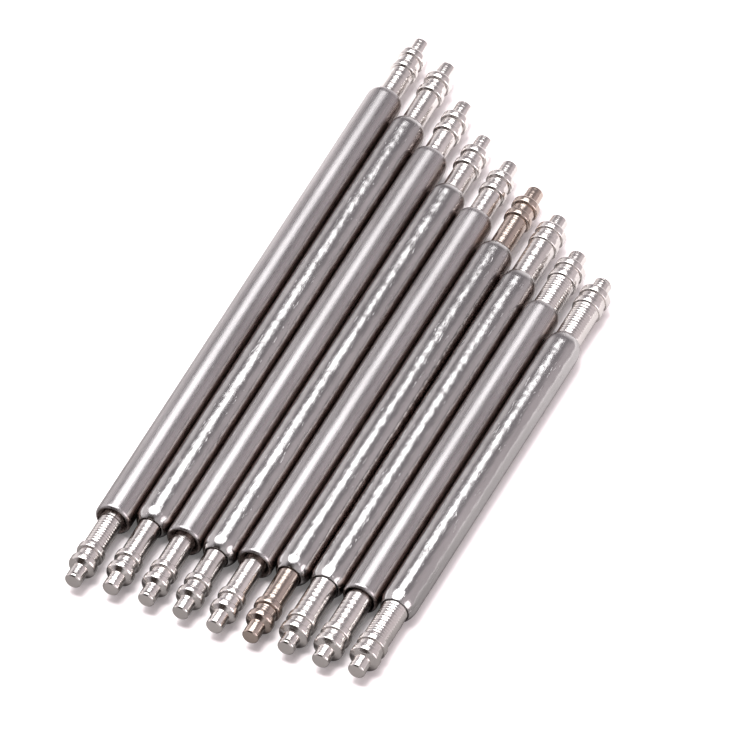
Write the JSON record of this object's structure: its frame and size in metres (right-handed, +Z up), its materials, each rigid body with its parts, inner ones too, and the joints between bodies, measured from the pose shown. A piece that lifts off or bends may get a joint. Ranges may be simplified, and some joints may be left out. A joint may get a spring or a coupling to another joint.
{
  "type": "spring bar set",
  "caption": "Graduated row of loose spring bars for watch straps: thin crimped tubes with double-flange pins sprung outwards at both ends.",
  "frame": {"origin": "centre of the row's bounding box, on the surface that the bars lie on", "axes": "+Y along the bars from their aligned near tips to their far tips, +X across the row from the longest bar to the shortest, +Z up"},
  "size_m": [0.0114, 0.0274, 0.0012],
  "materials": {
    "satin_tube": "smooth satin stainless steel tube",
    "drawn_tube": "drawn stainless steel tube with fine lengthwise grain and small scratches",
    "bright_pin": "bright turned steel with fine tool rings",
    "warm_pin": "bright turned steel with a warm brown tint",
    "spring_wire": "drawn stainless spring wire"
  },
  "bodies": {
    "bar_1": {"bar_1_tube": "satin_tube", "bar_1_spring": "spring_wire"},
    "bar_1_near_pin": {"bar_1_near_pin": "bright_pin"},
    "bar_1_far_pin": {"bar_1_far_pin": "bright_pin"},
    "bar_2": {"bar_2_tube": "drawn_tube", "bar_2_spring": "spring_wire"},
    "bar_2_near_pin": {"bar_2_near_pin": "bright_pin"},
    "bar_2_far_pin": {"bar_2_far_pin": "bright_pin"},
    "bar_3": {"bar_3_tube": "satin_tube", "bar_3_spring": "spring_wire"},
    "bar_3_near_pin": {"bar_3_near_pin": "bright_pin"},
    "bar_3_far_pin": {"bar_3_far_pin": "bright_pin"},
    "bar_4": {"bar_4_tube": "drawn_tube", "bar_4_spring": "spring_wire"},
    "bar_4_near_pin": {"bar_4_near_pin": "bright_pin"},
    "bar_4_far_pin": {"bar_4_far_pin": "bright_pin"},
    "bar_5": {"bar_5_tube": "satin_tube", "bar_5_spring": "spring_wire"},
    "bar_5_near_pin": {"bar_5_near_pin": "bright_pin"},
    "bar_5_far_pin": {"bar_5_far_pin": "bright_pin"},
    "bar_6": {"bar_6_tube": "drawn_tube", "bar_6_spring": "spring_wire"},
    "bar_6_near_pin": {"bar_6_near_pin": "warm_pin"},
    "bar_6_far_pin": {"bar_6_far_pin": "warm_pin"},
    "bar_7": {"bar_7_tube": "drawn_tube", "bar_7_spring": "spring_wire"},
    "bar_7_near_pin": {"bar_7_near_pin": "bright_pin"},
    "bar_7_far_pin": {"bar_7_far_pin": "bright_pin"},
    "bar_8": {"bar_8_tube": "satin_tube", "bar_8_spring": "spring_wire"},
    "bar_8_near_pin": {"bar_8_near_pin": "bright_pin"},
    "bar_8_far_pin": {"bar_8_far_pin": "bright_pin"},
    "bar_9": {"bar_9_tube": "drawn_tube", "bar_9_spring": "spring_wire"},
    "bar_9_near_pin": {"bar_9_near_pin": "bright_pin"},
    "bar_9_far_pin": {"bar_9_far_pin": "bright_pin"}
  },
  "joints": [
    {"name": "bar_1_lift", "type": "slide", "parent": "bar_5", "child": "bar_1", "axis": [0, 0, 1], "range_m": [0, 0.003]},
    {"name": "bar_1_near_pin_press", "type": "slide", "parent": "bar_1", "child": "bar_1_near_pin", "axis": [0, 1, 0], "range_m": [0, 0.00145], "stiffness_N_per_m": 1200, "deforming": ["bar_1_spring"]},
    {"name": "bar_1_far_pin_press", "type": "slide", "parent": "bar_1", "child": "bar_1_far_pin", "axis": [0, -1, 0], "range_m": [0, 0.00124], "stiffness_N_per_m": 1200, "deforming": ["bar_1_spring"]},
    {"name": "bar_2_lift", "type": "slide", "parent": "bar_5", "child": "bar_2", "axis": [0, 0, 1], "range_m": [0, 0.003]},
    {"name": "bar_2_near_pin_press", "type": "slide", "parent": "bar_2", "child": "bar_2_near_pin", "axis": [0, 1, 0], "range_m": [0, 0.00147], "stiffness_N_per_m": 1200, "deforming": ["bar_2_spring"]},
    {"name": "bar_2_far_pin_press", "type": "slide", "parent": "bar_2", "child": "bar_2_far_pin", "axis": [0, -1, 0], "range_m": [0, 0.00137], "stiffness_N_per_m": 1200, "deforming": ["bar_2_spring"]},
    {"name": "bar_3_lift", "type": "slide", "parent": "bar_5", "child": "bar_3", "axis": [0, 0, 1], "range_m": [0, 0.003]},
    {"name": "bar_3_near_pin_press", "type": "slide", "parent": "bar_3", "child": "bar_3_near_pin", "axis": [0, 1, 0], "range_m": [0, 0.00132], "stiffness_N_per_m": 1200, "deforming": ["bar_3_spring"]},
    {"name": "bar_3_far_pin_press", "type": "slide", "parent": "bar_3", "child": "bar_3_far_pin", "axis": [0, -1, 0], "range_m": [0, 0.00107], "stiffness_N_per_m": 1200, "deforming": ["bar_3_spring"]},
    {"name": "bar_4_lift", "type": "slide", "parent": "bar_5", "child": "bar_4", "axis": [0, 0, 1], "range_m": [0, 0.003]},
    {"name": "bar_4_near_pin_press", "type": "slide", "parent": "bar_4", "child": "bar_4_near_pin", "axis": [0, 1, 0], "range_m": [0, 0.0012], "stiffness_N_per_m": 1200, "deforming": ["bar_4_spring"]},
    {"name": "bar_4_far_pin_press", "type": "slide", "parent": "bar_4", "child": "bar_4_far_pin", "axis": [0, -1, 0], "range_m": [0, 0.00107], "stiffness_N_per_m": 1200, "deforming": ["bar_4_spring"]},
    {"name": "bar_5_near_pin_press", "type": "slide", "parent": "bar_5", "child": "bar_5_near_pin", "axis": [0, 1, 0], "range_m": [0, 0.00152], "stiffness_N_per_m": 1200, "deforming": ["bar_5_spring"]},
    {"name": "bar_5_far_pin_press", "type": "slide", "parent": "bar_5", "child": "bar_5_far_pin", "axis": [0, -1, 0], "range_m": [0, 0.00114], "stiffness_N_per_m": 1200, "deforming": ["bar_5_spring"]},
    {"name": "bar_6_lift", "type": "slide", "parent": "bar_5", "child": "bar_6", "axis": [0, 0, 1], "range_m": [0, 0.003]},
    {"name": "bar_6_near_pin_press", "type": "slide", "parent": "bar_6", "child": "bar_6_near_pin", "axis": [0, 1, 0], "range_m": [0, 0.00145], "stiffness_N_per_m": 1200, "deforming": ["bar_6_spring"]},
    {"name": "bar_6_far_pin_press", "type": "slide", "parent": "bar_6", "child": "bar_6_far_pin", "axis": [0, -1, 0], "range_m": [0, 0.00137], "stiffness_N_per_m": 1200, "deforming": ["bar_6_spring"]},
    {"name": "bar_7_lift", "type": "slide", "parent": "bar_5", "child": "bar_7", "axis": [0, 0, 1], "range_m": [0, 0.003]},
    {"name": "bar_7_near_pin_press", "type": "slide", "parent": "bar_7", "child": "bar_7_near_pin", "axis": [0, 1, 0], "range_m": [0, 0.0016], "stiffness_N_per_m": 1200, "deforming": ["bar_7_spring"]},
    {"name": "bar_7_far_pin_press", "type": "slide", "parent": "bar_7", "child": "bar_7_far_pin", "axis": [0, -1, 0], "range_m": [0, 0.0016], "stiffness_N_per_m": 1200, "deforming": ["bar_7_spring"]},
    {"name": "bar_8_lift", "type": "slide", "parent": "bar_5", "child": "bar_8", "axis": [0, 0, 1], "range_m": [0, 0.003]},
    {"name": "bar_8_near_pin_press", "type": "slide", "parent": "bar_8", "child": "bar_8_near_pin", "axis": [0, 1, 0], "range_m": [0, 0.0016], "stiffness_N_per_m": 1200, "deforming": ["bar_8_spring"]},
    {"name": "bar_8_far_pin_press", "type": "slide", "parent": "bar_8", "child": "bar_8_far_pin", "axis": [0, -1, 0], "range_m": [0, 0.0014], "stiffness_N_per_m": 1200, "deforming": ["bar_8_spring"]},
    {"name": "bar_9_lift", "type": "slide", "parent": "bar_5", "child": "bar_9", "axis": [0, 0, 1], "range_m": [0, 0.003]},
    {"name": "bar_9_near_pin_press", "type": "slide", "parent": "bar_9", "child": "bar_9_near_pin", "axis": [0, 1, 0], "range_m": [0, 0.00157], "stiffness_N_per_m": 1200, "deforming": ["bar_9_spring"]},
    {"name": "bar_9_far_pin_press", "type": "slide", "parent": "bar_9", "child": "bar_9_far_pin", "axis": [0, -1, 0], "range_m": [0, 0.00157], "stiffness_N_per_m": 1200, "deforming": ["bar_9_spring"]}
  ]
}
